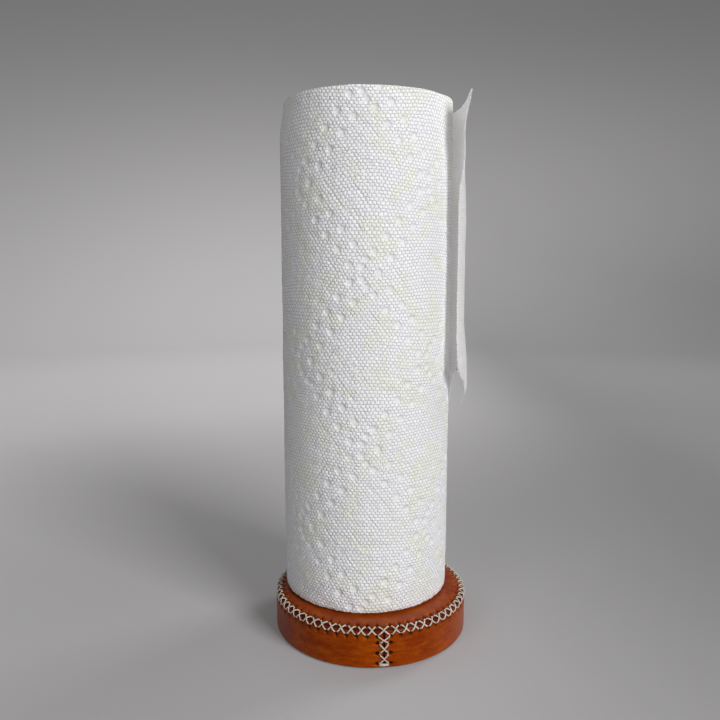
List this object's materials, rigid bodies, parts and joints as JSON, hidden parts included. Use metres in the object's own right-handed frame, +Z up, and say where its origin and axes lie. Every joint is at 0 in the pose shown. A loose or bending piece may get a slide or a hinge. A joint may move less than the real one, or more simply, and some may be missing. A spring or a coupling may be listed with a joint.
{
  "type": "paper towel holder",
  "caption": "Weighted round base and upright post covered in cross-laced tan leather, with a roll of embossed paper towels whose loose end stands open.",
  "frame": {"origin": "middle of the underside of the suede pad, on the surface that the base stands on, under the post's axis", "axes": "+Z up along the post, -Y towards the front, which the side strip's laced seam faces, +X to the right, where the loose sheet stands open"},
  "size_m": [0.1154, 0.1164, 0.3026],
  "materials": {
    "leather": "satin",
    "suede": "matte",
    "thread": "satin",
    "wood": "matte",
    "steel": "satin",
    "core_board": "matte",
    "towel_paper": "matte"
  },
  "bodies": {
    "base": {"base_pad": "suede", "ballast_plate": "steel", "plate_screws": "steel", "base_core": "wood", "side_leather": "leather", "top_leather": "leather", "rim_lacing_under": "thread", "rim_lacing_over": "thread", "seam_lacing_under": "thread", "seam_lacing_over": "thread", "seam_bar": "thread", "post_screw": "steel", "post_dowel": "wood", "post_sleeve": "leather", "post_lacing_under": "thread", "post_lacing_over": "thread", "post_cap": "leather", "cap_lacing_under": "thread", "cap_lacing_over": "thread"},
    "core": {"core_tube": "core_board"},
    "towels": {"towel_wound": "towel_paper"},
    "sheet": {"loose_sheet": "towel_paper"}
  },
  "joints": [
    {"name": "roll_lift", "type": "slide", "parent": "base", "child": "core", "axis": [0, 0, 1], "range_m": [0, 0.29]},
    {"name": "roll_spin", "type": "hinge", "parent": "core", "child": "towels", "pos_m": [-0.00268, 0.00603, 0.1629], "axis": [0, 0, 1], "continuous": true},
    {"name": "sheet_swing", "type": "hinge", "parent": "towels", "child": "sheet", "pos_m": [0.01008, 0.05365, 0.2], "axis": [0, 0, 1], "range_deg": [-5, 40]}
  ]
}
